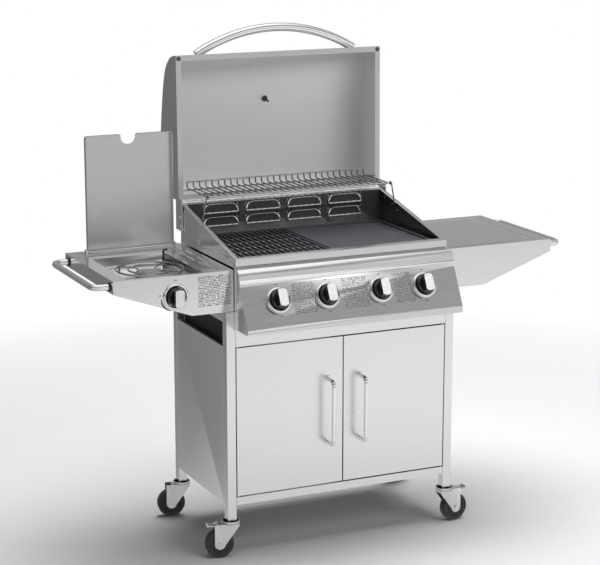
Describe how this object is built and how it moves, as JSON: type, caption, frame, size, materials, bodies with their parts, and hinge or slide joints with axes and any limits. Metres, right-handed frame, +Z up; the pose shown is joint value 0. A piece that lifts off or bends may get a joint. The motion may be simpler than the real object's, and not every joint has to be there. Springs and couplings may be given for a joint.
{
  "type": "gas barbecue grill",
  "caption": "Gas barbecue grill on a wheeled two-door cabinet, with a tilting hood, warming rack, control panel, side burner with a lid and a side shelf.",
  "frame": {"origin": "on the floor, under the middle of the grill's box", "axes": "+X to the grill's right as its user sees it, +Y to the back, +Z up"},
  "size_m": [1.3432, 0.61, 1.3235],
  "materials": {
    "brushed_steel": "fine brushed stainless steel",
    "galvanised_sheet": "dull zinc-coated sheet",
    "chrome": "polished chrome plate",
    "black_enamel": "satin black enamel inside, bright steel outside",
    "cast_iron": "matt black cast iron",
    "burner_steel": "heat-stained steel",
    "brass": "plain machined brass",
    "zinc": "bright zinc plate",
    "tyre": "hard black rubber",
    "black_plastic": "gloss black"
  },
  "bodies": {
    "cart": {"leg_front_left": "brushed_steel", "leg_front_right": "brushed_steel", "leg_rear_left": "brushed_steel", "leg_rear_right": "brushed_steel", "side_panel_left": "brushed_steel", "side_panel_right": "brushed_steel", "front_bottom_rail": "brushed_steel", "front_top_rail": "brushed_steel", "bottom_shelf": "galvanised_sheet", "back_panel": "galvanised_sheet", "door_catch": "black_plastic", "firebox": "black_enamel", "burner_tube_1": "burner_steel", "burner_tube_2": "burner_steel", "burner_tube_3": "burner_steel", "burner_tube_4": "burner_steel", "flame_tamer_1": "burner_steel", "flame_tamer_2": "burner_steel", "flame_tamer_3": "burner_steel", "flame_tamer_4": "burner_steel", "grill_grate": "cast_iron", "griddle_plate": "cast_iron", "control_panel": "brushed_steel", "gas_manifold": "brass", "side_burner_valve": "brass", "side_burner_table": "brushed_steel", "side_shelf": "brushed_steel", "towel_bar_left": "chrome", "towel_bar_right": "chrome", "side_burner_head": "cast_iron", "side_burner_trivet": "cast_iron", "hood_hinge_left": "zinc", "hood_hinge_right": "zinc"},
    "hood": {"hood_shell": "brushed_steel", "thermometer": "chrome", "hood_handle": "chrome"},
    "warming_rack": {"warming_rack": "chrome"},
    "rack_leg_left": {"rack_leg_left": "chrome"},
    "rack_leg_right": {"rack_leg_right": "chrome"},
    "door_left": {"door_left": "brushed_steel", "door_handle_left": "chrome"},
    "door_right": {"door_right": "brushed_steel", "door_handle_right": "chrome"},
    "side_burner_lid": {"side_burner_lid": "brushed_steel"},
    "grease_tray": {"grease_tray": "galvanised_sheet"},
    "knob_1": {"burner_knob_1": "black_plastic"},
    "knob_2": {"burner_knob_2": "black_plastic"},
    "knob_3": {"burner_knob_3": "black_plastic"},
    "knob_4": {"burner_knob_4": "black_plastic"},
    "knob_side": {"side_burner_knob": "black_plastic"},
    "caster_front_left": {"caster_fork_front_left": "zinc"},
    "wheel_front_left": {"caster_wheel_front_left": "tyre"},
    "caster_front_right": {"caster_fork_front_right": "zinc"},
    "wheel_front_right": {"caster_wheel_front_right": "tyre"},
    "caster_rear_left": {"caster_fork_rear_left": "zinc"},
    "wheel_rear_left": {"caster_wheel_rear_left": "tyre"},
    "caster_rear_right": {"caster_fork_rear_right": "zinc"},
    "wheel_rear_right": {"caster_wheel_rear_right": "tyre"},
    "brake_left": {"caster_brake_left": "zinc"},
    "brake_right": {"caster_brake_right": "zinc"}
  },
  "joints": [
    {"name": "hood_hinge", "type": "hinge", "parent": "cart", "child": "hood", "pos_m": [0, 0.1725, 0.867], "axis": [1, 0, 0], "range_deg": [0, 103]},
    {"name": "rack_pivot", "type": "hinge", "parent": "hood", "child": "warming_rack", "pos_m": [0, 0.1905, 0.894], "axis": [1, 0, 0], "range_deg": [-98, 0]},
    {"name": "rack_leg_left_pivot", "type": "hinge", "parent": "cart", "child": "rack_leg_left", "pos_m": [-0.281, 0.0465, 0.838], "axis": [1, 0, 0], "range_deg": [0, 67]},
    {"name": "rack_leg_right_pivot", "type": "hinge", "parent": "cart", "child": "rack_leg_right", "pos_m": [0.281, 0.0465, 0.838], "axis": [1, 0, 0], "range_deg": [0, 67]},
    {"name": "door_left_hinge", "type": "hinge", "parent": "cart", "child": "door_left", "pos_m": [-0.2945, -0.2085, 0.3578], "axis": [0, 0, -1], "range_deg": [0, 110]},
    {"name": "door_right_hinge", "type": "hinge", "parent": "cart", "child": "door_right", "pos_m": [0.2945, -0.2085, 0.3578], "axis": [0, 0, 1], "range_deg": [0, 110]},
    {"name": "side_lid_hinge", "type": "hinge", "parent": "cart", "child": "side_burner_lid", "pos_m": [-0.4555, 0.118, 0.762], "axis": [1, 0, 0], "range_deg": [0, 90]},
    {"name": "knob_1_turn", "type": "hinge", "parent": "cart", "child": "knob_1", "pos_m": [-0.2054, -0.26742, 0.681], "axis": [0, -0.8909, 0.4542], "range_deg": [0, 180]},
    {"name": "knob_2_turn", "type": "hinge", "parent": "cart", "child": "knob_2", "pos_m": [-0.0706, -0.26742, 0.681], "axis": [0, -0.8909, 0.4542], "range_deg": [0, 180]},
    {"name": "knob_3_turn", "type": "hinge", "parent": "cart", "child": "knob_3", "pos_m": [0.0807, -0.26742, 0.681], "axis": [0, -0.8909, 0.4542], "range_deg": [0, 180]},
    {"name": "knob_4_turn", "type": "hinge", "parent": "cart", "child": "knob_4", "pos_m": [0.2058, -0.26742, 0.681], "axis": [0, -0.8909, 0.4542], "range_deg": [0, 180]},
    {"name": "knob_side_turn", "type": "hinge", "parent": "cart", "child": "knob_side", "pos_m": [-0.4593, -0.2115, 0.7036], "axis": [0, -1, 0], "range_deg": [0, 180]},
    {"name": "grease_tray_slide", "type": "slide", "parent": "cart", "child": "grease_tray", "axis": [0, 1, 0], "range_m": [0, 0.28]},
    {"name": "caster_front_left_swivel", "type": "hinge", "parent": "cart", "child": "caster_front_left", "pos_m": [-0.313, -0.1995, 0.09], "axis": [0, 0, 1], "continuous": true},
    {"name": "wheel_front_left_roll", "type": "hinge", "parent": "caster_front_left", "child": "wheel_front_left", "pos_m": [-0.34234, -0.19326, 0.0375], "axis": [-0.2079, -0.9781, 0], "continuous": true},
    {"name": "brake_left_press", "type": "hinge", "parent": "caster_front_left", "child": "brake_left", "pos_m": [-0.35017, -0.1916, 0.084], "axis": [-0.2079, -0.9781, 0], "range_deg": [0, 12]},
    {"name": "caster_front_right_swivel", "type": "hinge", "parent": "cart", "child": "caster_front_right", "pos_m": [0.313, -0.1995, 0.09], "axis": [0, 0, 1], "continuous": true},
    {"name": "wheel_front_right_roll", "type": "hinge", "parent": "caster_front_right", "child": "wheel_front_right", "pos_m": [0.34289, -0.19689, 0.0375], "axis": [-0.0872, 0.9962, 0], "continuous": true},
    {"name": "brake_right_press", "type": "hinge", "parent": "caster_front_right", "child": "brake_right", "pos_m": [0.35086, -0.19619, 0.084], "axis": [-0.0872, 0.9962, 0], "range_deg": [0, 12]},
    {"name": "caster_rear_left_swivel", "type": "hinge", "parent": "cart", "child": "caster_rear_left", "pos_m": [-0.313, 0.1465, 0.09], "axis": [0, 0, 1], "continuous": true},
    {"name": "wheel_rear_left_roll", "type": "hinge", "parent": "caster_rear_left", "child": "wheel_rear_left", "pos_m": [-0.34234, 0.15274, 0.0375], "axis": [-0.2079, -0.9781, 0], "continuous": true},
    {"name": "caster_rear_right_swivel", "type": "hinge", "parent": "cart", "child": "caster_rear_right", "pos_m": [0.313, 0.1465, 0.09], "axis": [0, 0, 1], "continuous": true},
    {"name": "wheel_rear_right_roll", "type": "hinge", "parent": "caster_rear_right", "child": "wheel_rear_right", "pos_m": [0.34289, 0.14911, 0.0375], "axis": [-0.0872, 0.9962, 0], "continuous": true}
  ],
  "couplings": [
    {"joint": "rack_pivot", "follows": "hood_hinge", "ratio": -0.947},
    {"joint": "rack_leg_left_pivot", "follows": "hood_hinge", "ratio": 0.645},
    {"joint": "rack_leg_right_pivot", "follows": "hood_hinge", "ratio": 0.645}
  ]
}
